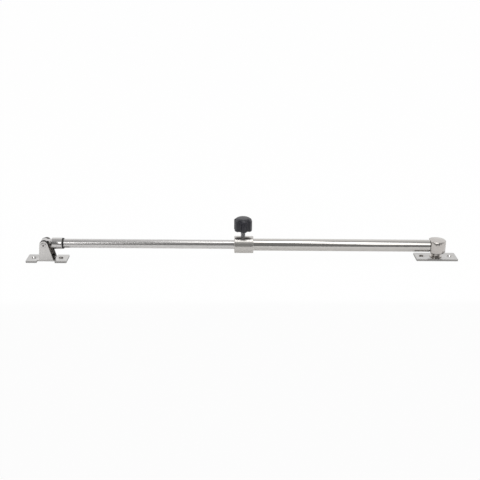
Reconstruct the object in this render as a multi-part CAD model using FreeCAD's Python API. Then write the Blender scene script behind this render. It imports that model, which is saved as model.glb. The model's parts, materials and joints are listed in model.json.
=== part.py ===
import FreeCAD, Part

import math
import os

from FreeCAD import Vector

# Telescopic window security bar, in millimetres.
#
# The bar lies along X. Its outer tube starts at a swivelling turret and its inner tube leaves the
# outer one towards -X, to end in an eye held by a folded clevis bracket. A thumb knob on the clamp
# collar between the tubes locks the length. The origin is on the turret's swivel axis, at the
# underside of the turret's base plate. +Z points away from the surface the bar is screwed to.

# ---------------------------------------------------------------------------------------------
# Driving dimensions
# ---------------------------------------------------------------------------------------------

# Running and fixed fits
slide_clearance = 0.10       # radial, between parts that slide or turn on each other
pin_clearance = 0.08         # radial, rivet or journal in its bush
seat_clearance = 0.02        # radial, between parts that are pressed or screwed together
face_gap = 0.05              # along an axis, between faces that turn against each other
end_gap = 0.5                # left between a travelling part and its stop

# Layout of the bar
centre_distance = 412.2      # swivel axis to clevis pin, with the bar extended
clevis_pin_height = 18.6     # clevis pin above the underside of the clevis bracket

# Tubes
inner_tube_od = 9.5
inner_tube_wall = 0.8
tube_gap = 0.8               # radial, inner tube to outer tube
outer_tube_wall = 0.8
outer_tube_length = 192.2    # from the turret's flat to the tube's end in the collar
turret_seam = 0.7            # open groove between the turret's flat and the outer tube

# Turret base plate
plate_length = 43.5
plate_depth = 19.5
plate_thickness = 2.0
plate_corner_radius = 1.0
turret_hole_margin = 7.0     # hole centre to the plate's end
screw_hole_diameter = 4.2
countersink_diameter = 7.0

# Turret and its swivel
turret_flat_offset = 7.0     # swivel axis to the flat that faces the outer tube
turret_flat_margin = 0.09    # the flat's width beyond the outer tube, on each side
turret_height_margin = 0.25  # the turret's height beyond the outer tube, above and below
turret_neck = 5.0            # gap between the plate and the turret
turret_edge_chamfer = 0.8
swivel_shank_diameter = 5.0
swivel_head_rim = 1.9        # the head's radius beyond the shank
swivel_head_thickness = 0.8
swivel_head_recess = 0.2     # head sits this far inside the plate's underside
swivel_drive_width = 2.5     # across the flats of the screw's hexagon socket
swivel_drive_depth = 2.0
swivel_thread_cover = 2.0    # solid metal left between the screw's end and the turret's top
swivel_washer_rim = 4.0      # radial width of the washer
swivel_washer_thickness = 0.75
swivel_spacer_wall = 1.95

# Plug that joins the outer tube to the turret
plug_length = 14.0           # inside the tube
plug_tail_diameter = 8.0
plug_tail_overrun = 4.5      # past the swivel axis

# Clamp collar
collar_wall = 2.65           # round the outer tube
collar_length = 20.0
collar_seat_depth = 6.0      # depth of the socket for the outer tube
collar_edge_chamfer = 0.5
collar_bore_relief = 0.2     # radial, inner tube to the collar's own bore
mouth_bush_wall = 1.2
mouth_bush_length = 4.0
mouth_bush_recess = 0.3

# Thumb screw
knob_offset = 0.9            # the screw is this far from the collar's middle, towards the clevis
stud_diameter = 4.8
stud_head_rim = 1.6          # the head's radius beyond the shank
stud_head_thickness = 3.5
stud_cover = 3.0             # knob plastic above the stud's head
pad_thickness = 2.0
pad_to_tube_gap = 0.1
knob_standoff = 4.8          # collar crest to the bottom of the knob's hub
knob_diameter = 19.1
knob_lobes = 6
knob_flute_depth = 2.0
knob_flute_radius = 2.6
knob_lobe_lean = 6.0         # degrees that the front lobe is turned towards the turret
hub_height = 2.35
hub_wall = 0.5               # plastic round the stud at the hub's bottom
hub_flare = 2.5              # the hub's radius grows by this much up to the grip
grip_height = 11.25
dome_height = 2.5
dome_flat_radius = 5.2

# Inner end of the inner tube
journal_spigot_length = 10.0
journal_step = 1.2           # the inner tube's bore to the journal, radial
journal_head_rim = 1.25      # the head's radius beyond the journal
journal_head_thickness = 2.0
guide_bush_length = 10.0

# Rod end
socket_wall = 1.2            # round the inner tube
socket_near = 6.8            # clevis pin to the socket's closed end
socket_length = 11.8
socket_depth = 8.0           # how far the inner tube enters
socket_back_chamfer = 1.5
socket_mouth_chamfer = 0.2
seal_length = 1.8            # black ring round the tube, against the socket's mouth
seal_step = 0.2              # its radius is this much less than the socket's
seal_edge_chamfer = 0.35
tongue_thickness = 6.0
eye_stand_out = 0.3          # the eye's radius beyond the ears' round heads
neck_height = 7.6

# Clevis bracket
sheet_thickness = 2.0
bend_outer_radius = 2.6
ear_head_radius = 4.3
back_ear_offset = 1.2        # the back ear's outline is this far towards the bar
ear_base_length = 15.0
web_length = 19.0            # part of the base between the two screw pads
clevis_pin_offset = 1.5      # pin is this far from the bracket's centre, away from the bar
clevis_hole_margin = 7.75    # hole centre to the bracket's end on the bar's side
far_pad_trim = 0.8           # the other pad is this much shorter

# Pivot rivet and bushes
rivet_diameter = 4.0
rivet_head_rim = 1.2         # the round head's radius beyond the shank
rivet_head_height = 1.3
rivet_roll_rim = 0.9         # the rolled end's radius beyond the shank
rivet_roll_height = 0.9
rivet_wall = 0.9             # round the hollow at the rolled end
rivet_hollow_depth = 5.0
bush_wall = 0.92
bush_flange_thickness = 1.95
bush_sleeve_gap = 0.1        # between the two sleeves, inside the eye

# ---------------------------------------------------------------------------------------------
# Derived places
# ---------------------------------------------------------------------------------------------

X = Vector(1, 0, 0)
Y = Vector(0, 1, 0)
Z = Vector(0, 0, 1)

outer_tube_bore = inner_tube_od + 2 * tube_gap
outer_tube_od = outer_tube_bore + 2 * outer_tube_wall
inner_tube_bore = inner_tube_od - 2 * inner_tube_wall

turret_height = outer_tube_od + 2 * turret_height_margin
turret_diameter = 2 * math.hypot(turret_flat_offset, outer_tube_od / 2 + turret_flat_margin)
turret_hole_spacing = plate_length - 2 * turret_hole_margin
swivel_head_diameter = swivel_shank_diameter + 2 * swivel_head_rim
rod_height = plate_thickness + turret_neck + turret_height / 2

outer_tube_end = -turret_flat_offset - outer_tube_length
collar_back = outer_tube_end + collar_seat_depth
collar_mouth = collar_back - collar_length
knob_x = (collar_back + collar_mouth) / 2 - knob_offset
collar_diameter = outer_tube_od + 2 * collar_wall
collar_crest = rod_height + collar_diameter / 2
mouth_bush_diameter = inner_tube_od + 2 * slide_clearance + 2 * mouth_bush_wall
stud_head_diameter = stud_diameter + 2 * stud_head_rim

pin_x = -centre_distance
socket_closed_end = pin_x + socket_near
socket_mouth = socket_closed_end + socket_length
socket_diameter = inner_tube_od + 2 * socket_wall
eye_radius = ear_head_radius + eye_stand_out
bush_sleeve_diameter = rivet_diameter + 2 * pin_clearance + 2 * bush_wall
clevis_floor = rod_height - clevis_pin_height
clevis_centre = pin_x + clevis_pin_offset
clevis_hole_spacing = plate_length - 2 * clevis_hole_margin
ear_inner_face = tongue_thickness / 2 + bush_flange_thickness + face_gap
ear_outer_face = ear_inner_face + sheet_thickness

journal_diameter = inner_tube_bore - 2 * journal_step
guide_bush_left = outer_tube_end + end_gap
inner_tube_end = guide_bush_left - face_gap
journal_head_left = guide_bush_left + guide_bush_length + face_gap

turret_bottom = rod_height - turret_height / 2
turret_top = rod_height + turret_height / 2
spacer_bottom = plate_thickness + swivel_washer_thickness + face_gap

pad_bottom = rod_height + inner_tube_od / 2 + pad_to_tube_gap
hub_bottom = collar_crest + knob_standoff
grip_bottom = hub_bottom + hub_height
grip_top = grip_bottom + grip_height
knob_top = grip_top + dome_height


# ---------------------------------------------------------------------------------------------
# Building blocks
# ---------------------------------------------------------------------------------------------

def rod_point(x):
    """The point on the rod axis at x."""
    return Vector(x, 0, rod_height)


def bar(diameter, start_x, end_x):
    """A round bar on the rod axis from start_x to end_x, with end_x the larger."""
    return Part.makeCylinder(diameter / 2, end_x - start_x, rod_point(start_x), X)


def post(diameter, bottom, top, x=0.0):
    """A round bar standing along Z at x."""
    return Part.makeCylinder(diameter / 2, top - bottom, Vector(x, 0, bottom), Z)


def cross_bar(diameter, start_y, end_y, x, z):
    """A round bar along Y through (x, z)."""
    return Part.makeCylinder(diameter / 2, end_y - start_y, Vector(x, start_y, z), Y)


def rivet_bar(diameter, start_y, end_y):
    """A round bar on the clevis pin's axis."""
    return cross_bar(diameter, start_y, end_y, pin_x, rod_height)


def block(length, depth, height, centre_x, bottom):
    """A box centred on the XZ plane."""
    corner = Vector(centre_x - length / 2, -depth / 2, bottom)
    return Part.makeBox(length, depth, height, corner)


def edges_at(shape, coordinate, value):
    """The edges that lie wholly in the plane where the coordinate has this value."""
    low = coordinate + "Min"
    high = coordinate + "Max"
    found = []
    for edge in shape.Edges:
        box = edge.BoundBox
        if abs(getattr(box, low) - value) < 1e-4 and abs(getattr(box, high) - value) < 1e-4:
            found.append(edge)
    return found


def upright_edges(shape, height):
    """The straight vertical edges of a plate that are as tall as its thickness."""
    found = []
    for edge in shape.Edges:
        box = edge.BoundBox
        if box.XLength < 1e-4 and box.YLength < 1e-4 and abs(box.ZLength - height) < 1e-4:
            found.append(edge)
    return found


def countersunk_hole(x, bottom, thickness):
    """The cutter of one countersunk screw hole through a plate."""
    hole = post(screw_hole_diameter, bottom - 1, bottom + thickness + 1, x)
    sink_depth = (countersink_diameter - screw_hole_diameter) / 2
    top = bottom + thickness
    sink = Part.makeCone(screw_hole_diameter / 2, countersink_diameter / 2, sink_depth,
                         Vector(x, 0, top - sink_depth), Z)
    return hole.fuse(sink)


# ---------------------------------------------------------------------------------------------
# Turret end
# ---------------------------------------------------------------------------------------------

def turret_base_plate():
    plate = block(plate_length, plate_depth, plate_thickness, 0, 0)
    plate = plate.makeFillet(plate_corner_radius, upright_edges(plate, plate_thickness))
    for side in (-1, 1):
        plate = plate.cut(countersunk_hole(side * turret_hole_spacing / 2, 0, plate_thickness))
    plate = plate.cut(post(swivel_shank_diameter + 2 * slide_clearance, -1, plate_thickness + 1))
    pocket_depth = swivel_head_recess + swivel_head_thickness + face_gap
    return plate.cut(post(swivel_head_diameter + 4 * slide_clearance, -1, pocket_depth))


def swivel_screw():
    head_top = swivel_head_recess + swivel_head_thickness
    head = post(swivel_head_diameter, swivel_head_recess, head_top)
    screw = head.fuse(post(swivel_shank_diameter, head_top, turret_top - swivel_thread_cover))
    corner_radius = swivel_drive_width / math.sqrt(3)
    hexagon = [Vector(corner_radius, 0, 0)]
    for corner in range(1, 7):
        turn = math.radians(60 * corner)
        hexagon.append(Vector(corner_radius * math.cos(turn), corner_radius * math.sin(turn), 0))
    drive = Part.Face(Part.makePolygon(hexagon)).extrude(Z * (swivel_head_recess + swivel_drive_depth))
    return screw.cut(drive)


def swivel_washer():
    top = plate_thickness + swivel_washer_thickness
    washer_diameter = swivel_shank_diameter + 2 * swivel_washer_rim
    ring = post(washer_diameter, plate_thickness, top)
    return ring.cut(post(swivel_shank_diameter + 2 * slide_clearance, 0, top + 1))


def swivel_spacer():
    sleeve = post(swivel_shank_diameter + 2 * swivel_spacer_wall, spacer_bottom, turret_bottom)
    return sleeve.cut(post(swivel_shank_diameter + 2 * seat_clearance, 0, turret_bottom + 1))


def turret_head():
    head = post(turret_diameter, turret_bottom, turret_top)
    beyond_flat = block(turret_diameter, 2 * turret_diameter, 2 * turret_height,
                        -turret_flat_offset - turret_diameter / 2, turret_bottom - 1)
    head = head.cut(beyond_flat)
    rims = edges_at(head, "Z", turret_bottom) + edges_at(head, "Z", turret_top)
    head = head.makeChamfer(turret_edge_chamfer, rims)
    tail_bore = plug_tail_diameter + 2 * seat_clearance
    head = head.cut(bar(tail_bore, -turret_flat_offset - 1, plug_tail_overrun + face_gap))
    screw_hole = swivel_shank_diameter + 2 * seat_clearance
    return head.cut(post(screw_hole, turret_bottom - 1, turret_top - swivel_thread_cover))


def tube_plug():
    body = bar(outer_tube_bore - 2 * seat_clearance, -turret_flat_offset - plug_length,
               -turret_flat_offset)
    tail = bar(plug_tail_diameter, -turret_flat_offset, plug_tail_overrun)
    plug = body.fuse(tail)
    return plug.cut(post(swivel_shank_diameter + 2 * seat_clearance, 0, 2 * rod_height))


# ---------------------------------------------------------------------------------------------
# Outer tube and clamp
# ---------------------------------------------------------------------------------------------

def outer_tube():
    wall = bar(outer_tube_od, outer_tube_end, -turret_flat_offset - turret_seam)
    return wall.cut(bar(outer_tube_bore, outer_tube_end - 1, 0))


def clamp_collar():
    collar = bar(collar_diameter, collar_mouth, collar_back)
    rims = edges_at(collar, "X", collar_mouth) + edges_at(collar, "X", collar_back)
    collar = collar.makeChamfer(collar_edge_chamfer, rims)
    collar = collar.cut(bar(outer_tube_od + 2 * seat_clearance, outer_tube_end, collar_back + 1))
    collar = collar.cut(bar(inner_tube_od + 2 * collar_bore_relief, collar_mouth - 1, collar_back))
    bush_pocket = bar(mouth_bush_diameter + 2 * seat_clearance, collar_mouth - 1,
                      collar_mouth + mouth_bush_recess + mouth_bush_length)
    collar = collar.cut(bush_pocket)
    return collar.cut(post(stud_diameter + 2 * slide_clearance, rod_height, collar_crest + 1, knob_x))


def mouth_bush():
    start = collar_mouth + mouth_bush_recess
    ring = bar(mouth_bush_diameter, start, start + mouth_bush_length)
    return ring.cut(bar(inner_tube_od + 2 * slide_clearance, start - 1, start + mouth_bush_length + 1))


def pressure_pad():
    return post(stud_diameter, pad_bottom, pad_bottom + pad_thickness, knob_x)


def knob_stud():
    head_top = knob_top - stud_cover
    head_bottom = head_top - stud_head_thickness
    shank = post(stud_diameter, pad_bottom + pad_thickness, head_bottom, knob_x)
    return shank.fuse(post(stud_head_diameter, head_bottom, head_top, knob_x))


def thumb_knob():
    outer_radius = knob_diameter / 2
    hub_bottom_radius = stud_diameter / 2 + hub_wall
    profile = [
        Vector(0, 0, hub_bottom),
        Vector(hub_bottom_radius, 0, hub_bottom),
        Vector(hub_bottom_radius + hub_flare, 0, grip_bottom),
        Vector(outer_radius, 0, grip_bottom),
        Vector(outer_radius, 0, grip_top),
        Vector(dome_flat_radius, 0, knob_top),
        Vector(0, 0, knob_top),
    ]
    outline = Part.makePolygon(profile + profile[:1])
    knob = Part.Face(outline).revolve(Vector(0, 0, 0), Z, 360)
    flute_centre = outer_radius + knob_flute_radius - knob_flute_depth
    for lobe in range(knob_lobes):
        angle = -90 + knob_lobe_lean + (lobe + 0.5) * 360 / knob_lobes
        place = Vector(math.cos(math.radians(angle)), math.sin(math.radians(angle)), 0)
        centre = place * flute_centre + Vector(0, 0, grip_bottom - 1)
        knob = knob.cut(Part.makeCylinder(knob_flute_radius, grip_height + dome_height + 2, centre, Z))
    knob.translate(Vector(knob_x, 0, 0))
    socket = knob_stud_envelope(seat_clearance)
    return knob.cut(socket)


def knob_stud_envelope(clearance):
    """The stud with this much room round its sides, as the cutter of its seat in the knob."""
    head_top = knob_top - stud_cover
    head_bottom = head_top - stud_head_thickness
    shank = post(stud_diameter + 2 * clearance, hub_bottom - 1, head_bottom, knob_x)
    return shank.fuse(post(stud_head_diameter + 2 * clearance, head_bottom, head_top, knob_x))


# ---------------------------------------------------------------------------------------------
# Inner tube and rod end
# ---------------------------------------------------------------------------------------------

def inner_tube():
    start = socket_mouth - socket_depth
    wall = bar(inner_tube_od, start, inner_tube_end)
    return wall.cut(bar(inner_tube_bore, start - 1, inner_tube_end + 1))


def guide_journal():
    spigot = bar(inner_tube_bore - 2 * seat_clearance, inner_tube_end - journal_spigot_length,
                 inner_tube_end)
    journal = bar(journal_diameter, inner_tube_end, journal_head_left)
    head_diameter = journal_diameter + 2 * journal_head_rim
    head = bar(head_diameter, journal_head_left, journal_head_left + journal_head_thickness)
    return spigot.fuse([journal, head]).removeSplitter()


def guide_bush():
    right = guide_bush_left + guide_bush_length
    bush = bar(outer_tube_bore - 2 * slide_clearance, guide_bush_left, right)
    return bush.cut(bar(journal_diameter + 2 * pin_clearance, guide_bush_left - 1, right + 1))


def rod_end():
    half = tongue_thickness / 2
    eye = rivet_bar(2 * eye_radius, -half, half)
    neck = block(socket_near + socket_back_chamfer, tongue_thickness, neck_height,
                 pin_x + (socket_near + socket_back_chamfer) / 2, rod_height - neck_height / 2)
    socket = bar(socket_diameter, socket_closed_end, socket_mouth)
    socket = socket.makeChamfer(socket_back_chamfer, edges_at(socket, "X", socket_closed_end))
    socket = socket.makeChamfer(socket_mouth_chamfer, edges_at(socket, "X", socket_mouth))
    end = eye.fuse([neck, socket]).removeSplitter()
    end = end.cut(bar(inner_tube_od + 2 * seat_clearance, socket_mouth - socket_depth, socket_mouth + 1))
    bore = bush_sleeve_diameter + 2 * seat_clearance
    return end.cut(rivet_bar(bore, -half - 1, half + 1))


def rod_seal():
    seal_end = socket_mouth + seal_length
    ring = bar(socket_diameter - 2 * seal_step, socket_mouth, seal_end)
    ring = ring.makeChamfer(seal_edge_chamfer, edges_at(ring, "X", seal_end))
    return ring.cut(bar(inner_tube_od + 2 * seat_clearance, socket_mouth - 1, seal_end + 1))


def pivot_bush(side):
    """A top-hat bush: its flange fills the gap to one ear and its sleeve lines the eye."""
    flange_inner = tongue_thickness / 2
    flange_outer = ear_inner_face - face_gap
    flange = rivet_bar(2 * eye_radius, flange_inner, flange_outer)
    sleeve = rivet_bar(bush_sleeve_diameter, bush_sleeve_gap / 2, flange_inner)
    bush = flange.fuse(sleeve).cut(rivet_bar(rivet_diameter + 2 * pin_clearance, -1, flange_outer + 1))
    if side < 0:
        bush = bush.mirror(Vector(0, 0, 0), Y)
    return bush


# ---------------------------------------------------------------------------------------------
# Clevis bracket and its rivet
# ---------------------------------------------------------------------------------------------

def folded_channel():
    """The U section that the base web and the two ears are cut from, over the web's length."""
    top = clevis_floor + clevis_pin_height + ear_head_radius
    outer = block(web_length, 2 * ear_outer_face, top - clevis_floor, clevis_centre, clevis_floor)
    inner = block(web_length, 2 * ear_inner_face, top - clevis_floor, clevis_centre,
                  clevis_floor + sheet_thickness)
    lower_edges = [edge for edge in edges_at(outer, "Z", clevis_floor) if edge.BoundBox.YLength < 1e-4]
    outer = outer.makeFillet(bend_outer_radius, lower_edges)
    floor_edges = edges_at(inner, "Z", clevis_floor + sheet_thickness)
    bend_edges = [edge for edge in floor_edges if edge.BoundBox.YLength < 1e-4]
    inner = inner.makeFillet(bend_outer_radius - sheet_thickness, bend_edges)
    return outer.cut(inner)


def tangent_point(corner, head, towards):
    """Where the line from corner touches the ear's round head, on the side given by towards."""
    reach = corner - head
    distance = reach.Length
    angle = math.atan2(reach.z, reach.x) + towards * math.acos(ear_head_radius / distance)
    return head + Vector(math.cos(angle), 0, math.sin(angle)) * ear_head_radius


def ear_prism(side, offset):
    """The prism that trims one ear: wide at the floor and tapering to a round head."""
    foot_level = clevis_floor + sheet_thickness
    head = Vector(pin_x + offset, 0, rod_height)
    left = Vector(clevis_centre + offset - ear_base_length / 2, 0, foot_level)
    right = Vector(clevis_centre + offset + ear_base_length / 2, 0, foot_level)
    left_touch = tangent_point(left, head, -1)
    right_touch = tangent_point(right, head, 1)
    crown = head + Z * ear_head_radius
    down = Vector(0, 0, -sheet_thickness)
    edges = [
        Part.makeLine(left + down, right + down),
        Part.makeLine(right + down, right),
        Part.makeLine(right, right_touch),
        Part.Arc(right_touch, crown, left_touch).toShape(),
        Part.makeLine(left_touch, left),
        Part.makeLine(left, left + down),
    ]
    return Part.Face(Part.Wire(edges)).extrude(Y * (side * 2 * ear_outer_face))


def ear_outline():
    """What is kept of the channel: the whole web and, above it, the two ears."""
    foot = block(web_length, 4 * ear_outer_face, sheet_thickness, clevis_centre, clevis_floor)
    return foot.fuse([ear_prism(-1, 0), ear_prism(1, back_ear_offset)])


def clevis_bracket():
    bracket = folded_channel().common(ear_outline())
    full_length = (plate_length - web_length) / 2
    for side, pad_length in ((-1, full_length - far_pad_trim), (1, full_length)):
        pad_centre = clevis_centre + side * (web_length + pad_length) / 2
        pad = block(pad_length, plate_depth, sheet_thickness, pad_centre, clevis_floor)
        outer_corners = [edge for edge in upright_edges(pad, sheet_thickness)
                         if side * (edge.BoundBox.XMin - pad_centre) > 0]
        bracket = bracket.fuse(pad.makeFillet(plate_corner_radius, outer_corners))
    bracket = bracket.removeSplitter()
    for side in (-1, 1):
        hole_x = clevis_centre + side * clevis_hole_spacing / 2
        bracket = bracket.cut(countersunk_hole(hole_x, clevis_floor, sheet_thickness))
    rivet_hole = rivet_diameter + 2 * seat_clearance
    return bracket.cut(rivet_bar(rivet_hole, -2 * ear_outer_face, 2 * ear_outer_face))


def pivot_rivet():
    """A semi-tubular rivet: rolled over at the front, with a low round head at the back."""
    head_top = ear_outer_face + rivet_head_height
    head = rivet_bar(rivet_diameter + 2 * rivet_head_rim, ear_outer_face, head_top)
    head = head.makeFillet(0.7 * rivet_head_height, edges_at(head, "Y", head_top))
    roll_front = -ear_outer_face - rivet_roll_height
    roll = rivet_bar(rivet_diameter + 2 * rivet_roll_rim, roll_front, -ear_outer_face)
    roll = roll.makeFillet(0.7 * rivet_roll_height, edges_at(roll, "Y", roll_front))
    shank = rivet_bar(rivet_diameter, -ear_outer_face, ear_outer_face)
    rivet = shank.fuse([head, roll]).removeSplitter()
    hollow_diameter = rivet_diameter - 2 * rivet_wall
    return rivet.cut(rivet_bar(hollow_diameter, roll_front - 1, roll_front + rivet_hollow_depth))


# ---------------------------------------------------------------------------------------------
# Export
# ---------------------------------------------------------------------------------------------

pieces = {
    "turret_base_plate": turret_base_plate(),
    "swivel_screw": swivel_screw(),
    "swivel_washer": swivel_washer(),
    "swivel_spacer": swivel_spacer(),
    "turret_head": turret_head(),
    "tube_plug": tube_plug(),
    "outer_tube": outer_tube(),
    "clamp_collar": clamp_collar(),
    "mouth_bush": mouth_bush(),
    "pressure_pad": pressure_pad(),
    "knob_stud": knob_stud(),
    "thumb_knob": thumb_knob(),
    "inner_tube": inner_tube(),
    "guide_journal": guide_journal(),
    "guide_bush": guide_bush(),
    "rod_end": rod_end(),
    "rod_seal": rod_seal(),
    "pivot_bush_front": pivot_bush(-1),
    "pivot_bush_back": pivot_bush(1),
    "clevis_bracket": clevis_bracket(),
    "pivot_rivet": pivot_rivet(),
}

os.makedirs("parts", exist_ok=True)
for name, shape in pieces.items():
    if not shape.isValid() or len(shape.Solids) != 1:
        raise ValueError(name + " is not one sound solid")
    shape.exportStep(os.path.join("parts", name + ".step"))
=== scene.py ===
import json
import math

import bmesh
import bpy
from bpy.props import FloatProperty, FloatVectorProperty, IntProperty, PointerProperty
from mathutils import Matrix, Vector


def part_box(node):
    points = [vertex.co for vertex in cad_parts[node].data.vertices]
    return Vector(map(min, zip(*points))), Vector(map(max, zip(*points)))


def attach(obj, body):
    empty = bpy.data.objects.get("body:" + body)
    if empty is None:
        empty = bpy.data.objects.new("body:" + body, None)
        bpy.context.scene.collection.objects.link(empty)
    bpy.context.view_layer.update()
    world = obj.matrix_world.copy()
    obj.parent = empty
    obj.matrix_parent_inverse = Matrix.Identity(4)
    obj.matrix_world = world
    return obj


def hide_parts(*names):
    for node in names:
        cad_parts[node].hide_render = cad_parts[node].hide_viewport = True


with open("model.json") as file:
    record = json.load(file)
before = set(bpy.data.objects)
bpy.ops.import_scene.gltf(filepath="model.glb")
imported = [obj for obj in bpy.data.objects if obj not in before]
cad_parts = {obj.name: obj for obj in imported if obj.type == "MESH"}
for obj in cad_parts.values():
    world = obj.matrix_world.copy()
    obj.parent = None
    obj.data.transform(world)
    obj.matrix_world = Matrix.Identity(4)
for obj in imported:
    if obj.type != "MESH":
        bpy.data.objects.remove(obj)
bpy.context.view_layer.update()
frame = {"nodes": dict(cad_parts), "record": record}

bl_info = {
    "name": "Window Security Bar",
    "version": (1, 0, 0),
    "blender": (4, 5, 0),
    "location": "3D View > Sidebar > Window Bar",
    "description": "Finishes the parts of a telescopic window security bar and sets its studio",
    "category": "Object",
}

BODY_OF = {node: body for body, nodes in frame["record"]["behaviour"]["bodies"].items() for node in nodes}
SLOT_OF = {entry["node"]: entry["material_slot"] for entry in frame["record"]["subparts"]}


# ---------------------------------------------------------------------------------------------
# Settings
# ---------------------------------------------------------------------------------------------

def node_centre(node):
    """The middle of a node's box at rest."""
    low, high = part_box(node)
    return (low + high) / 2


def length_setting(name, description, default):
    return FloatProperty(name=name, description=description, default=default, unit="LENGTH",
                         precision=5, min=0.0)


def colour_setting(name, description, default):
    return FloatVectorProperty(name=name, description=description, default=default, size=3,
                               subtype="COLOR", min=0.0, max=1.0)


def share_setting(name, description, default):
    return FloatProperty(name=name, description=description, default=default, min=0.0, max=1.0,
                         subtype="FACTOR")


class WindowBarSizes(bpy.types.PropertyGroup):
    """Sizes of the small shapes that are made here and not in the frame."""
    edge_break: length_setting("Edge break", "Width of the broken edge on stamped parts", 0.00022)
    turned_edge_break: length_setting("Turned edge break", "Width of the broken edge on turned parts",
                                      0.00015)
    knob_edge: length_setting("Knob edge", "Radius of the knob's moulded edges", 0.00035)
    knob_crown: length_setting("Knob crown", "How far the knob's top is domed", 0.0002)
    flute_radius: length_setting("Flute radius", "Radius of the knob's finger flutes", 0.0026)
    flute_depth: length_setting("Flute depth", "Depth of the knob's finger flutes", 0.0020)
    thread_pitch: length_setting("Thread pitch", "Pitch of the thumb screw", 0.0008)
    thread_depth: length_setting("Thread depth", "Depth of the thumb screw's thread", 0.0003)
    knob_lobes: IntProperty(name="Knob lobes", description="Number of finger lobes", default=6, min=3)
    knob_lean: FloatProperty(name="Knob lean", description="How far the front lobe is turned",
                             default=math.radians(6), subtype="ANGLE")


class WindowBarFinish(bpy.types.PropertyGroup):
    """Colours and gloss of each finish."""
    polished: colour_setting("Polished steel", "Outer tube and collar", (0.60, 0.58, 0.555))
    satin: colour_setting("Satin steel", "Inner tube and rod end", (0.635, 0.62, 0.61))
    # stamped steel and the flats below are a lighter and a darker copy of one sheet steel: painted light
    # on the upright faces such as the ears, painted shade on the level tops
    stamped: colour_setting("Stamped steel", "Clevis bracket", (0.64, 0.625, 0.61))
    shaded_pressed: colour_setting("Shaded pressed flats", "Tops of the base plate and of the bracket's pads",
                            (0.56, 0.55, 0.54))
    # partly painted shade: the cut rims are rough sheared steel, and their darker colour also stands in
    # for the shade along the sheet's edges
    shaded_sheared: colour_setting("Sheared, shaded edges", "Cut rims of the stamped parts, darkened with painted shade", (0.42, 0.41, 0.40))
    # painted shade: a dark copy of the steel colour for faces that are dark only from shade and dark
    # reflections, the turret's underside, the ears' cut outline and the tube plug
    painted_shade: colour_setting("Painted shade steel", "Faces darkened with painted shade", (0.17, 0.16, 0.15))
    turned: colour_setting("Turned steel", "Turret and spacer", (0.56, 0.53, 0.505))
    plated: colour_setting("Plated steel", "Thumb screw", (0.43, 0.43, 0.44))
    knob: colour_setting("Knob plastic", "Thumb knob", (0.028, 0.028, 0.036))
    nylon: colour_setting("Nylon", "Bushes and the seal at the rod end", (0.016, 0.016, 0.016))
    polished_roughness: share_setting("Polished roughness", "Gloss of the polished parts", 0.10)
    satin_roughness: share_setting("Satin roughness", "Gloss of the drawn tube", 0.20)
    stamped_roughness: share_setting("Stamped roughness", "Gloss of the stamped parts", 0.13)
    turned_roughness: share_setting("Turned roughness", "Gloss of the turned parts", 0.14)
    knob_roughness: share_setting("Knob roughness", "Gloss of the knob", 0.34)


class WindowBarStage(bpy.types.PropertyGroup):
    """The camera, the floor and the light."""
    lens: FloatProperty(name="Lens", description="Focal length for a 36 mm sensor", default=63.75, min=1.0)
    distance: length_setting("Distance", "Camera to the point it looks at", 0.8927)
    pitch: FloatProperty(name="Pitch", description="How far the camera looks down",
                         default=math.radians(20.46), subtype="ANGLE")
    yaw: FloatProperty(name="Yaw", description="How far the camera is turned to the right",
                       default=math.radians(0.49), subtype="ANGLE")
    roll: FloatProperty(name="Roll", description="How far the camera leans",
                        default=math.radians(0.565), subtype="ANGLE")
    look_height: length_setting("Look height", "Height that the camera looks at", 0.01860)
    look_back: length_setting("Look back", "Distance from the swivel that the camera looks at", 0.2072)
    floor_size: length_setting("Floor size", "Side of the square floor", 8.0)
    floor_colour: colour_setting("Floor colour", "Pale studio floor", (0.90, 0.90, 0.90))
    floor_lift: share_setting("Floor lift", "How much of the floor's shading is lifted to white", 0.97)
    floor_glow: share_setting("Floor glow", "Light that the floor itself gives", 0.17)
    sky_strength: FloatProperty(name="Sky strength", description="Brightness of the studio",
                                default=1.0, min=0.0)
    light_radiance: FloatProperty(name="Light radiance", description="Brightness of the soft boxes",
                                  default=1.7, min=0.0)


# ---------------------------------------------------------------------------------------------
# Node tools
# ---------------------------------------------------------------------------------------------

def add_node(tree, kind, **settings):
    node = tree.nodes.new(kind)
    for key, value in settings.items():
        setattr(node, key, value)
    return node


def set_inputs(node, **values):
    """Sets sockets by name; an underscore in a name stands for a space."""
    for key, value in values.items():
        node.inputs[key.replace("_", " ")].default_value = value


def maths(tree, operation, first, second=None, clamp=False):
    """A Math node; each operand is a socket or a number."""
    node = add_node(tree, "ShaderNodeMath", operation=operation, use_clamp=clamp)
    for index, operand in enumerate((first, second)):
        if operand is None:
            continue
        if isinstance(operand, (int, float)):
            node.inputs[index].default_value = operand
        else:
            tree.links.new(operand, node.inputs[index])
    return node.outputs[0]


def map_range(tree, value, low, high):
    """Spreads a 0 to 1 mask between two numbers."""
    node = add_node(tree, "ShaderNodeMapRange")
    tree.links.new(value, node.inputs["Value"])
    set_inputs(node, To_Min=low, To_Max=high)
    return node.outputs["Result"]


def mix_colour(tree, mask, first, second):
    """Mixes two colours by a mask; each colour is a socket or three numbers."""
    node = add_node(tree, "ShaderNodeMix", data_type="RGBA")
    tree.links.new(mask, node.inputs["Factor"])
    for label, colour in (("A", first), ("B", second)):
        socket = [s for s in node.inputs if s.name == label and s.type == "RGBA"][0]
        if isinstance(colour, bpy.types.NodeSocket):
            tree.links.new(colour, socket)
        else:
            socket.default_value = (*colour, 1.0)
    return [s for s in node.outputs if s.type == "RGBA"][0]


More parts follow.
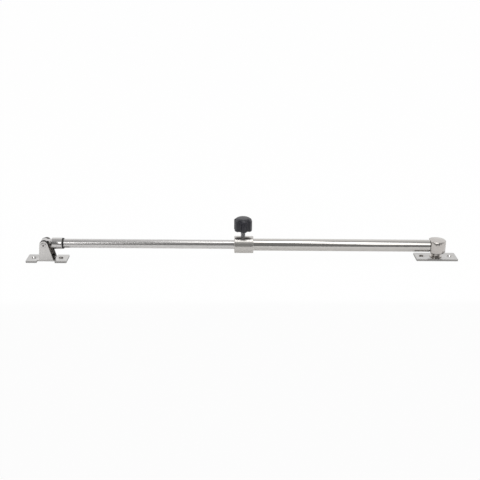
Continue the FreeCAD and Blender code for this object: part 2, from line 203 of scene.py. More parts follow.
def new_group(name, inputs, outputs):
    """An empty shader node group with named sockets, and its input and output nodes."""
    group = bpy.data.node_groups.new(name, "ShaderNodeTree")
    for label, kind, default in inputs:
        socket = group.interface.new_socket(label, in_out="INPUT", socket_type=kind)
        if default is not None:
            socket.default_value = default
    for label, kind in outputs:
        group.interface.new_socket(label, in_out="OUTPUT", socket_type=kind)
    return group, group.nodes.new("NodeGroupInput"), group.nodes.new("NodeGroupOutput")


def place_group(tree, group, **values):
    """Places a group in a material; a value is a number, a vector or a socket."""
    node = add_node(tree, "ShaderNodeGroup", node_tree=group)
    for key, value in values.items():
        socket = node.inputs[key.replace("_", " ")]
        if isinstance(value, bpy.types.NodeSocket):
            tree.links.new(value, socket)
        else:
            socket.default_value = value
    return node


# ---------------------------------------------------------------------------------------------
# Shared effects
# ---------------------------------------------------------------------------------------------

def streaks_group():
    """Fine parallel lines left by drawing, brushing or turning."""
    group, given, out = new_group(
        "drawn_streaks",
        [("Vector", "NodeSocketVector", None), ("Stretch", "NodeSocketVector", (1.0, 1.0, 1.0)),
         ("Detail", "NodeSocketFloat", 4.0)],
        [("Height", "NodeSocketFloat")])
    scaled = add_node(group, "ShaderNodeVectorMath", operation="MULTIPLY")
    group.links.new(given.outputs["Vector"], scaled.inputs[0])
    group.links.new(given.outputs["Stretch"], scaled.inputs[1])
    noise = add_node(group, "ShaderNodeTexNoise")
    set_inputs(noise, Scale=1.0, Roughness=0.6)
    group.links.new(scaled.outputs[0], noise.inputs["Vector"])
    group.links.new(given.outputs["Detail"], noise.inputs["Detail"])
    group.links.new(noise.outputs["Fac"], out.inputs["Height"])
    return group


def marks_group():
    """Soft patches where hands and packing have dulled the surface."""
    group, given, out = new_group(
        "handling_marks",
        [("Vector", "NodeSocketVector", None), ("Scale", "NodeSocketFloat", 60.0)],
        [("Mask", "NodeSocketFloat")])
    broad = add_node(group, "ShaderNodeTexNoise")
    set_inputs(broad, Detail=3.0, Roughness=0.55, Distortion=0.6)
    group.links.new(given.outputs["Vector"], broad.inputs["Vector"])
    group.links.new(given.outputs["Scale"], broad.inputs["Scale"])
    ramp = add_node(group, "ShaderNodeMapRange", interpolation_type="SMOOTHSTEP")
    set_inputs(ramp, From_Min=0.35, From_Max=0.70)
    group.links.new(broad.outputs["Fac"], ramp.inputs["Value"])
    group.links.new(ramp.outputs["Result"], out.inputs["Mask"])
    return group


def scratches_group():
    """Sparse hairline scratches in two directions."""
    group, given, out = new_group(
        "hairline_scratches",
        [("Vector", "NodeSocketVector", None), ("Scale", "NodeSocketFloat", 900.0)],
        [("Mask", "NodeSocketFloat")])
    lines = []
    for angle in (0.35, -0.9):
        turned = add_node(group, "ShaderNodeVectorRotate", rotation_type="EULER_XYZ")
        turned.inputs["Rotation"].default_value = (angle, angle * 0.7, angle)
        group.links.new(given.outputs["Vector"], turned.inputs["Vector"])
        stretched = add_node(group, "ShaderNodeVectorMath", operation="MULTIPLY")
        stretched.inputs[1].default_value = (0.06, 1.0, 1.0)
        group.links.new(turned.outputs[0], stretched.inputs[0])
        noise = add_node(group, "ShaderNodeTexNoise")
        set_inputs(noise, Detail=1.0, Roughness=0.4)
        group.links.new(stretched.outputs[0], noise.inputs["Vector"])
        group.links.new(given.outputs["Scale"], noise.inputs["Scale"])
        ridge = maths(group, "SUBTRACT", noise.outputs["Fac"], 0.66)
        lines.append(maths(group, "MULTIPLY", ridge, 14.0, clamp=True))
    both = maths(group, "MAXIMUM", lines[0], lines[1])
    group.links.new(both, out.inputs["Mask"])
    return group


def edge_wear_group():
    """A mask that is white on outer and inner edges, where plating and burrs rub bright."""
    group, given, out = new_group(
        "edge_wear",
        [("Vector", "NodeSocketVector", None), ("Radius", "NodeSocketFloat", 0.0003)],
        [("Mask", "NodeSocketFloat")])
    rounded = add_node(group, "ShaderNodeBevel", samples=4)
    group.links.new(given.outputs["Radius"], rounded.inputs["Radius"])
    surface = add_node(group, "ShaderNodeNewGeometry")
    agree = add_node(group, "ShaderNodeVectorMath", operation="DOT_PRODUCT")
    group.links.new(rounded.outputs["Normal"], agree.inputs[0])
    group.links.new(surface.outputs["Normal"], agree.inputs[1])
    bend = maths(group, "SUBTRACT", 1.0, agree.outputs["Value"])
    noise = add_node(group, "ShaderNodeTexNoise")
    set_inputs(noise, Scale=700.0, Detail=2.0)
    group.links.new(given.outputs["Vector"], noise.inputs["Vector"])
    broken = maths(group, "MULTIPLY", bend, noise.outputs["Fac"])
    group.links.new(maths(group, "MULTIPLY", broken, 9.0, clamp=True), out.inputs["Mask"])
    return group


def grain_group():
    """The fine spark-eroded grain of moulded plastic."""
    group, given, out = new_group(
        "moulded_grain",
        [("Vector", "NodeSocketVector", None), ("Scale", "NodeSocketFloat", 2500.0)],
        [("Height", "NodeSocketFloat")])
    noise = add_node(group, "ShaderNodeTexNoise")
    set_inputs(noise, Detail=2.0, Roughness=0.5)
    cells = add_node(group, "ShaderNodeTexVoronoi", feature="SMOOTH_F1")
    for texture in (noise, cells):
        group.links.new(given.outputs["Vector"], texture.inputs["Vector"])
        group.links.new(given.outputs["Scale"], texture.inputs["Scale"])
    both = maths(group, "ADD", maths(group, "MULTIPLY", noise.outputs["Fac"], 0.6),
                 maths(group, "MULTIPLY", cells.outputs["Distance"], 0.4))
    group.links.new(both, out.inputs["Height"])
    return group


EFFECTS = {}


def effect(name):
    """A shared group, built the first time it is asked for."""
    makers = {"streaks": streaks_group, "marks": marks_group, "scratches": scratches_group,
              "edge_wear": edge_wear_group, "grain": grain_group}
    if name not in EFFECTS:
        EFFECTS[name] = makers[name]()
    return EFFECTS[name]


# ---------------------------------------------------------------------------------------------
# Finishes
# ---------------------------------------------------------------------------------------------

def start_material(name):
    """A new material: itself, its nodes, its shader and the place on the object."""
    material = bpy.data.materials.new(name)
    material.use_nodes = True
    tree = material.node_tree
    shader = tree.nodes["Principled BSDF"]
    place = add_node(tree, "ShaderNodeTexCoord").outputs["Object"]
    return material, tree, shader, place


def add_bump(tree, shader, height, relief):
    """Lets a height mask stand out of the surface by a relief in metres."""
    bump = add_node(tree, "ShaderNodeBump")
    set_inputs(bump, Strength=1.0, Distance=relief)
    tree.links.new(height, bump.inputs["Height"])
    tree.links.new(bump.outputs["Normal"], shader.inputs["Normal"])


STEEL_WEAR_REACH = 0.00025       # width of the rubbed edges
MOULDED_WEAR_REACH = 0.0004
PATCHES_PER_METRE = 55.0         # hand marks on steel
MOULDED_PATCHES_PER_METRE = 120.0
SCRATCHES_PER_METRE = 900.0


def steel_finish(name, colour, roughness, stretch, relief, spread, tone=0.10):
    """Bare stainless steel with the lines of its making, dulled patches, scratches and bright edges.

    stretch is how closely the lines are spaced along each axis, in lines per metre, relief is their
    depth in metres, spread is how far the gloss wanders and tone how far the colour does."""
    material, tree, shader, place = start_material(name)
    set_inputs(shader, Metallic=1.0)
    lines = place_group(tree, effect("streaks"), Vector=place, Stretch=stretch).outputs["Height"]
    marks = place_group(tree, effect("marks"), Vector=place, Scale=PATCHES_PER_METRE).outputs["Mask"]
    scratches = place_group(tree, effect("scratches"), Vector=place,
                            Scale=SCRATCHES_PER_METRE).outputs["Mask"]
    edges = place_group(tree, effect("edge_wear"), Vector=place,
                        Radius=STEEL_WEAR_REACH).outputs["Mask"]
    darker = [channel * (1.0 - tone) for channel in colour]
    brighter = [min(1.0, channel * 1.18) for channel in colour]
    lined = mix_colour(tree, lines, darker, [min(1.0, channel * (1.0 + tone)) for channel in colour])
    dulled = mix_colour(tree, maths(tree, "MULTIPLY", marks, 0.35), lined, darker)
    worn = mix_colour(tree, edges, dulled, brighter)
    tree.links.new(worn, shader.inputs["Base Color"])
    gloss = map_range(tree, lines, roughness - spread, roughness + spread)
    patchy = maths(tree, "ADD", gloss, maths(tree, "MULTIPLY", marks, spread))
    scratched = maths(tree, "ADD", patchy, maths(tree, "MULTIPLY", scratches, 0.10), clamp=True)
    tree.links.new(scratched, shader.inputs["Roughness"])
    height = maths(tree, "SUBTRACT", lines, maths(tree, "MULTIPLY", scratches, 0.5))
    add_bump(tree, shader, height, relief)
    return material


def plastic_finish(name, colour, roughness, grain_scale, relief):
    """Moulded plastic: fine grain, faint patches and rubbed, slightly glossier edges."""
    material, tree, shader, place = start_material(name)
    set_inputs(shader, IOR=1.5)
    grain = place_group(tree, effect("grain"), Vector=place, Scale=grain_scale).outputs["Height"]
    marks = place_group(tree, effect("marks"), Vector=place,
                        Scale=MOULDED_PATCHES_PER_METRE).outputs["Mask"]
    edges = place_group(tree, effect("edge_wear"), Vector=place,
                        Radius=MOULDED_WEAR_REACH).outputs["Mask"]
    lighter = [channel * 1.5 + 0.006 for channel in colour]
    patchy = mix_colour(tree, maths(tree, "MULTIPLY", marks, 0.4), colour, lighter)
    rubbed = mix_colour(tree, maths(tree, "MULTIPLY", edges, 0.6), patchy, lighter)
    tree.links.new(rubbed, shader.inputs["Base Color"])
    gloss = map_range(tree, grain, roughness - 0.05, roughness + 0.08)
    tree.links.new(maths(tree, "SUBTRACT", gloss, maths(tree, "MULTIPLY", edges, 0.08)),
                   shader.inputs["Roughness"])
    add_bump(tree, shader, grain, relief)
    return material


# How closely the lines of a finish are spaced along X, Y and Z, in lines per metre
ALONG_X = (25.0, 5200.0, 5200.0)
ALONG_SHEET = (120.0, 3800.0, 3800.0)
ROUND_X = (5200.0, 60.0, 60.0)
ROUND_Z = (60.0, 60.0, 5200.0)
EVEN = (1500.0, 1500.0, 1500.0)
MICRON = 0.000001                # in metres
ROUGH_STEEL = 0.42               # roughness of cut steel and of the faces with painted shade
COLLAR_DULLER = 0.18             # roughness of the collar above the outer tube's
ROD_END_GLOSSIER = 0.04          # roughness of the rod end below the turret's
NYLON_DULLER = 0.12              # roughness of the nylon above the knob's


def finishes():
    """Every finish of the bar by the name of its material slot, built once."""
    if FINISHES:
        return FINISHES
    look = bpy.context.scene.window_bar_finish
    FINISHES.update({
        "polished_tube": steel_finish("polished_tube", look.polished, look.polished_roughness, ALONG_X,
                                      relief=0.6 * MICRON, spread=0.03, tone=0.04),
        "polished_collar": steel_finish("polished_collar", look.polished,
                                        look.polished_roughness + COLLAR_DULLER, ROUND_X,
                                        relief=0.4 * MICRON, spread=0.03, tone=0.04),
        "satin_tube": steel_finish("satin_tube", look.satin, look.satin_roughness, ALONG_X,
                                   relief=0.4 * MICRON, spread=0.04, tone=0.09),
        "rod_end_steel": steel_finish("rod_end_steel", look.satin,
                                      look.turned_roughness - ROD_END_GLOSSIER, ROUND_X,
                                      relief=1.5 * MICRON, spread=0.05),
        "satin_steel": steel_finish("satin_steel", look.stamped, look.stamped_roughness,
                                    ALONG_SHEET, relief=1.2 * MICRON, spread=0.05),
        # painted shade: a darker copy of the stamped steel for the level tops
        "shaded_pressed_flat": steel_finish("shaded_pressed_flat", look.shaded_pressed, look.stamped_roughness,
                                     ALONG_SHEET, relief=0.8 * MICRON, spread=0.04),
        # rough sheared steel, with a darker colour that is partly painted shade along the cut rims
        "shaded_sheared_edge": steel_finish("shaded_sheared_edge", look.shaded_sheared, ROUGH_STEEL, ROUND_Z,
                                     relief=4 * MICRON, spread=0.08),
        # painted shade, not a finish of the steel: this dark colour stands in for the shade and dark
        # reflections under the turret and along the ears
        "painted_shade_steel": steel_finish("painted_shade_steel", look.painted_shade, ROUGH_STEEL, EVEN,
                                        relief=1.2 * MICRON, spread=0.05),
        "turret_steel": steel_finish("turret_steel", look.turned, look.turned_roughness, ROUND_Z,
                                     relief=1.5 * MICRON, spread=0.05),
        "turned_steel": steel_finish("turned_steel", look.turned, look.turned_roughness, ROUND_Z,
                                     relief=1.5 * MICRON, spread=0.05),
        "rivet_steel": steel_finish("rivet_steel", look.satin, look.turned_roughness, EVEN,
                                    relief=1.5 * MICRON, spread=0.06),
        "stud_steel": steel_finish("stud_steel", look.plated, look.turned_roughness, ROUND_Z,
                                   relief=1 * MICRON, spread=0.05),
        "knob_plastic": plastic_finish("knob_plastic", look.knob, look.knob_roughness,
                                       grain_scale=2600.0, relief=20 * MICRON),
        "black_nylon": plastic_finish("black_nylon", look.nylon, look.knob_roughness + NYLON_DULLER,
                                      grain_scale=2000.0, relief=10 * MICRON),
    })
    return FINISHES


FINISHES = {}


def dress_node(node, finish=None):
    """Gives a CAD node the finish of its slot, or another one."""
    mesh = frame["nodes"][node].data
    mesh.materials.clear()
    mesh.materials.append(finishes()[finish or SLOT_OF[node]])


# ---------------------------------------------------------------------------------------------
# Shapes
# ---------------------------------------------------------------------------------------------

SHARP_ANGLE = math.radians(35)   # edges that turn more than this stay sharp, or are broken


def stand_for(piece, node):
    """The piece takes a CAD node's place, body, slot and finish."""
    piece.data.materials.clear()
    piece.data.materials.append(finishes()[SLOT_OF[node]])
    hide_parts(node)
    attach(piece, BODY_OF[node])
    return piece


def mesh_object(name, bm, smooth_below=SHARP_ANGLE):
    """An object from a bmesh, smooth where its faces meet at less than the angle."""
    mesh = bpy.data.meshes.new(name)
    bmesh.ops.recalc_face_normals(bm, faces=bm.faces)
    bm.to_mesh(mesh)
    bm.free()
    mesh.shade_smooth()
    mesh.set_sharp_from_angle(angle=smooth_below)
    piece = bpy.data.objects.new(name, mesh)
    bpy.context.scene.collection.objects.link(piece)
    return piece


def broken_edge_copy(node, name, width):
    """A copy of a CAD node whose sharp edges are broken by a small bevel, standing for the node."""
    bm = bmesh.new()
    bm.from_mesh(frame["nodes"][node].data)
    bmesh.ops.remove_doubles(bm, verts=bm.verts, dist=1e-7)
    bmesh.ops.dissolve_limit(bm, angle_limit=math.radians(0.05), verts=bm.verts, edges=bm.edges)
    piece = mesh_object(name, bm)
    bevel = piece.modifiers.new("broken_edges", "BEVEL")
    bevel.width = width
    bevel.segments = 2
    bevel.limit_method = "ANGLE"
    bevel.angle_limit = SHARP_ANGLE
    bevel.harden_normals = True
    return stand_for(piece, node)


def further_finish(piece, finish, chosen):
    """Gives the faces that pass a test, by centre and normal, another finish."""
    piece.data.materials.append(finishes()[finish])
    for face in piece.data.polygons:
        if chosen(face.center, face.normal):
            face.material_index = len(piece.data.materials) - 1


LEVEL_FACE = 0.9                 # share of a normal along Z from which its face counts as level
UPRIGHT_FACE = 0.3               # and below which it counts as upright
UNDERSIDE_FACE = -0.5            # and below which it counts as facing down
PAD_TOP = 0.0021                 # above the bracket's underside, just over the sheet's thickness
PAD_REACH = 0.0122               # from the bracket's end to the foot of its ears
EAR_SLOPE_START = 0.008          # above the bracket's underside


def on_bracket_pad(centre):
    """True on the bracket's two screw pads."""
    low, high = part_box("clevis_bracket")
    return centre.z < low.z + PAD_TOP and min(centre.x - low.x, high.x - centre.x) < PAD_REACH


def on_pad_top(centre, normal):
    """True on the upper faces of the bracket's two pads."""
    return on_bracket_pad(centre) and normal.z > LEVEL_FACE


def on_pad_rim(centre, normal):
    """True on the cut rims and in the holes of the bracket's two pads."""
    return on_bracket_pad(centre) and abs(normal.z) < UPRIGHT_FACE


def on_ear_outline(centre, normal):
    """True on the cut outline of the bracket's ears."""
    raised = centre.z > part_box("clevis_bracket")[0].z + EAR_SLOPE_START
    across = abs(normal.x) > UPRIGHT_FACE
    return not on_bracket_pad(centre) and (across or (normal.z > UPRIGHT_FACE and raised))


def ring_of(bm, points):
    """New vertices at the points, in order."""
    return [bm.verts.new(point) for point in points]


def bridge(bm, lower, upper):
    """Quads between two rings of as many points."""
    count = len(lower)
    for index in range(count):
        after = (index + 1) % count
        bm.faces.new((lower[index], lower[after], upper[after], upper[index]))


def cap_with_point(bm, ring, point):
    """Triangles from a ring to one point."""
    tip = bm.verts.new(point)
    for index, vert in enumerate(ring):
        bm.faces.new((vert, ring[(index + 1) % len(ring)], tip))


def soft_min(first, second, softness):
    """The smaller of two numbers, rounded where they cross."""
    reach = max(softness - abs(first - second), 0.0) / softness
    return min(first, second) - reach * reach * softness / 4


KNOB_FOOT_HEIGHT = 0.00235       # the conical foot under the lobes
KNOB_FOOT_RADIUS = 0.0029        # at its lower end
KNOB_NECK_RADIUS = 0.0056        # at its upper end
KNOB_SIDE_HEIGHT = 0.01125       # the lobes' upright sides
KNOB_TOP_RADIUS = 0.0052         # the nearly flat middle of the top
KNOB_BLEND = 0.0002              # how softly the flutes run into the rounded rims
STEPS_A_LOBE = 24


def knob_outline(angle, radius, sizes):
    """The knob's radius in one direction, with a round flute between each two lobes."""
    pitch = 2 * math.pi / sizes.knob_lobes
    front = -math.pi / 2 + sizes.knob_lean
    from_flute = (angle - front) % pitch - pitch / 2
    centre = radius + sizes.flute_radius - sizes.flute_depth
    side = centre * math.sin(from_flute)
    if abs(side) >= sizes.flute_radius:
        return radius
    flute = centre * math.cos(from_flute) - math.sqrt(sizes.flute_radius ** 2 - side ** 2)
    return soft_min(radius, flute, sizes.knob_edge)


def knob_levels(sizes):
    """From bottom to top: height above the knob's foot, the round limit and the inset of the outline."""
    low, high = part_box("thumb_knob")
    height = high.z - low.z
    radius = max(high.x - low.x, high.y - low.y) / 2
    grip_low = KNOB_FOOT_HEIGHT
    grip_high = grip_low + KNOB_SIDE_HEIGHT
    edge = sizes.knob_edge
    levels = [(0.0, KNOB_FOOT_RADIUS - 0.0003, 0.0), (0.0001, KNOB_FOOT_RADIUS, 0.0),
              (grip_low - 0.0003, KNOB_NECK_RADIUS - 0.0005, 0.0), (grip_low, KNOB_NECK_RADIUS, 0.0),
              (grip_low, radius - 2 * edge, 2 * edge)]
    quarter = [math.radians(step) for step in (0, 22.5, 45, 67.5, 90)]
    for turn in quarter:
        inset = edge * (1 - math.sin(turn))
        levels.append((grip_low + edge * (1 - math.cos(turn)), radius - inset, inset))
    for turn in quarter:
        inset = edge * (1 - math.cos(turn))
        levels.append((grip_high - edge * (1 - math.sin(turn)), radius - inset, inset))
    flat = KNOB_TOP_RADIUS
    crown = height - sizes.knob_crown
    for share in (0.25, 0.5, 0.75, 0.92):
        reach = radius - edge - (radius - edge - flat) * share
        rise = grip_high + (crown - grip_high) * math.sin(share * math.pi / 2)
        levels.append((rise, reach, edge))
    levels.append((crown, flat - 0.0004, edge))
    levels.append((crown + 0.6 * sizes.knob_crown, flat * 0.6, edge))
    return levels, radius, height


def thumb_knob(sizes):
    """The moulded knob: a conical foot, six finger lobes and a low domed top."""
    levels, radius, height = knob_levels(sizes)
    centre = node_centre("thumb_knob")
    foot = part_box("thumb_knob")[0].z
    steps = STEPS_A_LOBE * sizes.knob_lobes
    bm = bmesh.new()
    rings = []
    for rise, limit, inset in levels:
        points = []
        for step in range(steps):
            angle = 2 * math.pi * step / steps
            reach = soft_min(limit, knob_outline(angle, radius, sizes) - inset, KNOB_BLEND)
            points.append((centre.x + reach * math.cos(angle), centre.y + reach * math.sin(angle),
                           foot + rise))
        rings.append(ring_of(bm, points))
    for lower, upper in zip(rings, rings[1:]):
        bridge(bm, lower, upper)
    cap_with_point(bm, rings[-1], (centre.x, centre.y, foot + height))
    cap_with_point(bm, rings[0], (centre.x, centre.y, foot))
    return stand_for(mesh_object("knob_grip", bm, math.radians(40)), "thumb_knob")


SCREW_RADIUS = 0.0024
SCREW_HEAD_HEIGHT = 0.0035
SCREW_STEPS = 40                 # corners to a turn
THREAD_HIDDEN = 0.0005           # length of the thread inside the knob's foot
# The thread's profile over one pitch: share of the pitch, and whether it is at the crest
THREAD_PROFILE = ((0.0, False), (0.12, False), (0.44, True), (0.56, True), (0.88, False))


def thumb_screw(sizes):
    """The knob's screw with a real helical thread below and its head inside the knob."""
    low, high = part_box("knob_stud")
    centre = node_centre("knob_stud")
    head_radius = (high.x - low.x) / 2
    root = SCREW_RADIUS - sizes.thread_depth
    thread_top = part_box("thumb_knob")[0].z + THREAD_HIDDEN
    steps = SCREW_STEPS
    profile = [(share, SCREW_RADIUS if crest else root) for share, crest in THREAD_PROFILE]
    turns = math.ceil((thread_top - low.z) / sizes.thread_pitch)
    bm = bmesh.new()
    columns = []
    for step in range(turns * steps + 1):
        angle = 2 * math.pi * step / steps
        base = low.z - sizes.thread_pitch + sizes.thread_pitch * step / steps
        column = []
        for share, reach in profile:
            z = min(max(base + share * sizes.thread_pitch, low.z), thread_top)
            point = (centre.x + reach * math.cos(angle), centre.y + reach * math.sin(angle), z)
            column.append(bm.verts.new(point))
        columns.append(column)
    for index in range(len(columns) - 1):
        here, ahead = columns[index], columns[index + 1]
        for row in range(len(profile) - 1):
            bm.faces.new((here[row], ahead[row], ahead[row + 1], here[row + 1]))
        above = index + steps
        if above + 1 < len(columns):
            bm.faces.new((here[-1], ahead[-1], columns[above + 1][0], columns[above][0]))
    bmesh.ops.remove_doubles(bm, verts=bm.verts, dist=1e-8)
    core_end = low.z + 0.00002
    head_low = high.z - SCREW_HEAD_HEIGHT
    lathe_levels = ((core_end, root), (thread_top, root), (thread_top, SCREW_RADIUS),
                    (head_low, SCREW_RADIUS), (head_low, head_radius), (high.z, head_radius))
    rings = [ring_of(bm, [(centre.x + reach * math.cos(2 * math.pi * step / steps),
                           centre.y + reach * math.sin(2 * math.pi * step / steps), z)
                          for step in range(steps)]) for z, reach in lathe_levels]
    for lower, upper in zip(rings, rings[1:]):
        bridge(bm, lower, upper)
    cap_with_point(bm, rings[0], (centre.x, centre.y, core_end))
    cap_with_point(bm, rings[-1], (centre.x, centre.y, high.z))
    return stand_for(mesh_object("thumb_screw_thread", bm), "knob_stud")


# ---------------------------------------------------------------------------------------------
# Stage
# ---------------------------------------------------------------------------------------------

def floor_plane(size, colour, lift, glow):
    """A pale floor that touches the undersides of the turret plate and the clevis bracket."""
    plate_low, plate_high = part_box("turret_base_plate")
    clevis_low, clevis_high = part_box("clevis_bracket")
    run = plate_high.x - clevis_high.x
    rise = plate_low.z - clevis_low.z
    slope = math.atan2(rise, run)
    bm = bmesh.new()
    bmesh.ops.create_grid(bm, x_segments=2, y_segments=2, size=size / 2)
    floor = mesh_object("studio_floor", bm)
    touch = Vector((plate_high.x, 0, plate_low.z - 0.00005))
    floor.matrix_world = Matrix.Translation(touch) @ Matrix.Rotation(-slope, 4, "Y")
    material, tree, shader, place = start_material("floor_paper")
    marks = place_group(tree, effect("marks"), Vector=place, Scale=6.0).outputs["Mask"]
    shade = [channel * 0.985 for channel in colour]
    tree.links.new(mix_colour(tree, marks, colour, shade), shader.inputs["Base Color"])
    set_inputs(shader, Roughness=0.85, Emission_Color=(1.0, 1.0, 1.0, 1.0), Emission_Strength=glow)
    lift_for_camera(tree, shader, lift)
    floor.data.materials.append(material)


def lift_for_camera(tree, shader, lift):
    """Lets the camera see the surface nearly white, while it lights the parts as it is."""
    white = add_node(tree, "ShaderNodeEmission")
    seen = add_node(tree, "ShaderNodeLightPath").outputs["Is Camera Ray"]
    either = add_node(tree, "ShaderNodeMixShader")
    tree.links.new(maths(tree, "MULTIPLY", seen, lift), either.inputs[0])
    tree.links.new(shader.outputs[0], either.inputs[1])
    tree.links.new(white.outputs[0], either.inputs[2])
    output = tree.nodes["Material Output"]
    tree.links.new(either.outputs[0], output.inputs["Surface"])


# The black card in front of the bar
FLAG_LENGTH = 4.0
FLAG_DEPTH = 1.4
FLAG_START = 0.11                # from the bar's axis to the card's near edge
FLAG_LIFT = 0.004                # above the underside of the base plate


def front_flag():
    """A black card on the floor in front, which the camera can't see: the dark line in the tubes."""
    bm = bmesh.new()
    bmesh.ops.create_grid(bm, x_segments=1, y_segments=1, size=0.5)
    flag = mesh_object("front_flag", bm)
    flag.scale = (FLAG_LENGTH, FLAG_DEPTH, 1.0)
    flag.location = (node_centre("clamp_collar").x, -FLAG_START - FLAG_DEPTH / 2,
                     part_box("turret_base_plate")[0].z + FLAG_LIFT)
    flag.visible_camera = False
    material, tree, shader, place = start_material("flag_card")
    set_inputs(shader, Base_Color=(0.12, 0.12, 0.12, 1.0), Roughness=0.9)
    flag.data.materials.append(material)


# Brightness of the studio from the front horizon (0) over the top to the back horizon (1)
SKY = (
    (0.00, 0.28), (0.06, 0.24), (0.24, 0.24), (0.31, 0.50), (0.56, 0.52), (0.66, 0.92), (1.00, 0.95),
)


def studio_sky(strength):
    """A soft studio all round: a dark room in front, a white ceiling light and a pale backdrop."""
    world = bpy.data.worlds.new("studio")
    world.use_nodes = True
    tree = world.node_tree
    tree.nodes.clear()
    direction = add_node(tree, "ShaderNodeTexCoord").outputs["Generated"]
    parts = add_node(tree, "ShaderNodeSeparateXYZ")
    tree.links.new(direction, parts.inputs[0])
    towards_front = maths(tree, "MULTIPLY", parts.outputs["Y"], -1.0)
    turn = maths(tree, "ARCTAN2", parts.outputs["Z"], towards_front)
    share = maths(tree, "DIVIDE", turn, math.pi)
    ramp = add_node(tree, "ShaderNodeValToRGB")
    elements = ramp.color_ramp.elements
    peak = max(level for _, level in SKY)
    while len(elements) < len(SKY):
        elements.new(0.5)
    for element, (position, level) in zip(elements, SKY):
        element.position = position
        element.color = (level / peak, level / peak, level / peak, 1.0)
    tree.links.new(share, ramp.inputs["Fac"])
    lit = add_node(tree, "ShaderNodeBackground")
    set_inputs(lit, Strength=strength * peak)
    tree.links.new(ramp.outputs["Color"], lit.inputs["Color"])
    plain = add_node(tree, "ShaderNodeBackground")
    set_inputs(plain, Color=(1.0, 1.0, 1.0, 1.0), Strength=1.0)
    seen = add_node(tree, "ShaderNodeLightPath").outputs["Is Camera Ray"]
    either = add_node(tree, "ShaderNodeMixShader")
    tree.links.new(seen, either.inputs[0])
    tree.links.new(lit.outputs[0], either.inputs[1])
    tree.links.new(plain.outputs[0], either.inputs[2])
    output = add_node(tree, "ShaderNodeOutputWorld")
    tree.links.new(either.outputs[0], output.inputs["Surface"])
    bpy.context.scene.world = world


def soft_box(name, centre, along, aim, length, width, radiance):
    """A rectangular light facing a point, with its length turned along a direction."""
    data = bpy.data.lights.new(name, "AREA")
    data.shape = "RECTANGLE"
    data.size = length
    data.size_y = width
    data.energy = radiance * math.pi * length * width
    facing = (aim - centre).normalized()
    across = facing.cross(along).normalized()
    level = across.cross(facing).normalized()
    turn = Matrix((level, across, -facing)).transposed().to_4x4()
    if turn.determinant() < 0:
        turn = Matrix((level, -across, -facing)).transposed().to_4x4()
    light = bpy.data.objects.new(name, data)
    light.matrix_world = Matrix.Translation(centre) @ turn
    bpy.context.scene.collection.objects.link(light)


def round_the_bar(x, elevation, reach=0.9):
    """A point at this distance from the bar's axis, at an angle above the front horizon."""
    middle = node_centre("clamp_collar")
    angle = math.radians(elevation)
    return Vector((x, -reach * math.cos(angle), middle.z + reach * math.sin(angle)))


SMALL_BOX_SHARE = 1.3            # the small soft boxes are this much brighter than the large ones


def soft_boxes(radiance):
    """An overhead soft box, one that leans down at the right and two small ones at the left."""
    bar = node_centre("clamp_collar")
    along = Vector((1, 0, 0))
    small = SMALL_BOX_SHARE * radiance
    soft_box("overhead", round_the_bar(bar.x + 0.02, 77), along, bar, 0.32, 0.52, radiance)
    high, low = round_the_bar(bar.x + 0.13, 80), round_the_bar(bar.x + 0.42, 34)
    soft_box("right", (high + low) / 2, low - high, bar + Vector((0.14, 0, 0)), 0.72, 0.28, radiance)
    soft_box("left", round_the_bar(bar.x - 0.30, 39), along, bar - 0.14 * along, 0.10, 0.20, small)
    soft_box("far_left", round_the_bar(bar.x - 0.41, 30), along, bar - 0.19 * along, 0.12, 0.50, small)


def studio_camera(stage):
    """A camera a little above the bar, square to it."""
    data = bpy.data.cameras.new("camera")
    data.lens = stage.lens
    data.sensor_width = 36.0
    data.clip_start = 0.01
    data.clip_end = 20.0
    camera = bpy.data.objects.new("camera", data)
    ahead = Vector((math.sin(stage.yaw) * math.cos(stage.pitch),
                    math.cos(stage.yaw) * math.cos(stage.pitch), -math.sin(stage.pitch)))
    target = Vector((-stage.look_back, 0, stage.look_height))
    level = ahead.to_track_quat("-Z", "Y").to_matrix().to_4x4()
    lean = Matrix.Rotation(stage.roll, 4, "Z")
    camera.matrix_world = Matrix.Translation(target - ahead * stage.distance) @ level @ lean
    bpy.context.scene.collection.objects.link(camera)
    bpy.context.scene.camera = camera


# ---------------------------------------------------------------------------------------------
# Operators
# ---------------------------------------------------------------------------------------------

class WINDOWBAR_OT_tubes(bpy.types.Operator):
    """Finish the outer and the inner tube"""
    bl_idname = "window_bar.tubes"
    bl_label = "Tubes"

    def execute(self, context):
        for node in ("outer_tube", "inner_tube"):
            dress_node(node)
        return {"FINISHED"}


class WINDOWBAR_OT_turret_end(bpy.types.Operator):
    """Finish the turret, its base plate and its swivel"""
    bl_idname = "window_bar.turret_end"
    bl_label = "Turret end"

    def execute(self, context):
        sizes = context.scene.window_bar_sizes
        plate = broken_edge_copy("turret_base_plate", "base_plate", sizes.edge_break)
        # painted shade on the base plate's level top
        further_finish(plate, "shaded_pressed_flat", lambda centre, normal: normal.z > LEVEL_FACE)
        # painted shade on the base plate's cut rims, which are also real rough sheared steel
        further_finish(plate, "shaded_sheared_edge", lambda centre, normal: abs(normal.z) < UPRIGHT_FACE)
        block = broken_edge_copy("turret_head", "turret_block", sizes.turned_edge_break)
        # painted shade on the turret's underside
        further_finish(block, "painted_shade_steel", lambda centre, normal: normal.z < UNDERSIDE_FACE)
        broken_edge_copy("swivel_spacer", "neck_spacer", sizes.turned_edge_break)
        for node in ("swivel_washer", "swivel_screw"):
            dress_node(node)
        # painted shade on the tube plug
        dress_node("tube_plug", "painted_shade_steel")
        return {"FINISHED"}


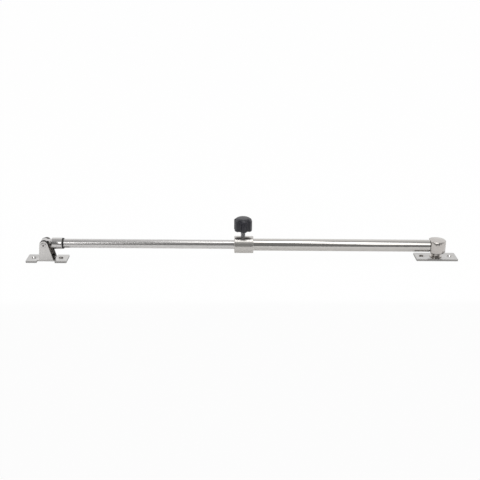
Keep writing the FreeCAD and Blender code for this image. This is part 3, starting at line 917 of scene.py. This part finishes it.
class WINDOWBAR_OT_clamp(bpy.types.Operator):
    """Finish the clamp collar with its bush and pad"""
    bl_idname = "window_bar.clamp"
    bl_label = "Clamp collar"

    def execute(self, context):
        sizes = context.scene.window_bar_sizes
        broken_edge_copy("clamp_collar", "collar_body", sizes.turned_edge_break)
        for node in ("mouth_bush", "pressure_pad"):
            dress_node(node)
        return {"FINISHED"}


class WINDOWBAR_OT_thumb_screw(bpy.types.Operator):
    """Build the thumb knob and its threaded screw"""
    bl_idname = "window_bar.thumb_screw"
    bl_label = "Thumb screw"

    def execute(self, context):
        sizes = context.scene.window_bar_sizes
        thumb_knob(sizes)
        thumb_screw(sizes)
        return {"FINISHED"}


class WINDOWBAR_OT_rod_end(bpy.types.Operator):
    """Finish the rod end and its pivot bushes"""
    bl_idname = "window_bar.rod_end"
    bl_label = "Rod end"

    def execute(self, context):
        sizes = context.scene.window_bar_sizes
        broken_edge_copy("rod_end", "rod_eye", sizes.turned_edge_break)
        for node in ("rod_seal", "pivot_bush_front", "pivot_bush_back", "guide_journal", "guide_bush"):
            dress_node(node)
        return {"FINISHED"}


class WINDOWBAR_OT_clevis(bpy.types.Operator):
    """Finish the clevis bracket and its rivet"""
    bl_idname = "window_bar.clevis"
    bl_label = "Clevis bracket"

    def execute(self, context):
        sizes = context.scene.window_bar_sizes
        bracket = broken_edge_copy("clevis_bracket", "folded_bracket", sizes.edge_break)
        # painted shade on the level tops of the pads
        further_finish(bracket, "shaded_pressed_flat", on_pad_top)
        # painted shade on the pads' cut rims and holes, which are also real rough sheared steel
        further_finish(bracket, "shaded_sheared_edge", on_pad_rim)
        # painted shade on the ears' cut outline
        further_finish(bracket, "painted_shade_steel", on_ear_outline)
        dress_node("pivot_rivet")
        return {"FINISHED"}


class WINDOWBAR_OT_stage(bpy.types.Operator):
    """Set the floor, the light and the camera"""
    bl_idname = "window_bar.stage"
    bl_label = "Studio"

    def execute(self, context):
        stage = context.scene.window_bar_stage
        context.scene.view_settings.view_transform = "Standard"
        floor_plane(stage.floor_size, stage.floor_colour, stage.floor_lift, stage.floor_glow)
        front_flag()
        studio_sky(stage.sky_strength)
        soft_boxes(stage.light_radiance)
        studio_camera(stage)
        return {"FINISHED"}


OPERATORS = (
    WINDOWBAR_OT_tubes,
    WINDOWBAR_OT_turret_end,
    WINDOWBAR_OT_clamp,
    WINDOWBAR_OT_thumb_screw,
    WINDOWBAR_OT_rod_end,
    WINDOWBAR_OT_clevis,
    WINDOWBAR_OT_stage,
)


class WINDOWBAR_PT_sidebar(bpy.types.Panel):
    """Lists the steps that finish the window bar"""
    bl_idname = "WINDOWBAR_PT_sidebar"
    bl_label = "Window Bar"
    bl_space_type = "VIEW_3D"
    bl_region_type = "UI"
    bl_category = "Window Bar"

    def draw(self, context):
        for operator in OPERATORS:
            self.layout.operator(operator.bl_idname)


SETTINGS = {
    "window_bar_sizes": WindowBarSizes,
    "window_bar_finish": WindowBarFinish,
    "window_bar_stage": WindowBarStage,
}


def register():
    for group in SETTINGS.values():
        bpy.utils.register_class(group)
    for name, group in SETTINGS.items():
        setattr(bpy.types.Scene, name, PointerProperty(type=group))
    for item in (*OPERATORS, WINDOWBAR_PT_sidebar):
        bpy.utils.register_class(item)


def unregister():
    for item in (WINDOWBAR_PT_sidebar, *reversed(OPERATORS)):
        bpy.utils.unregister_class(item)
    for name, group in SETTINGS.items():
        delattr(bpy.types.Scene, name)
        bpy.utils.unregister_class(group)


def main():
    register()
    for operator in OPERATORS:
        area, name = operator.bl_idname.split(".")
        getattr(getattr(bpy.ops, area), name)()


if __name__ == "__main__":
    main()
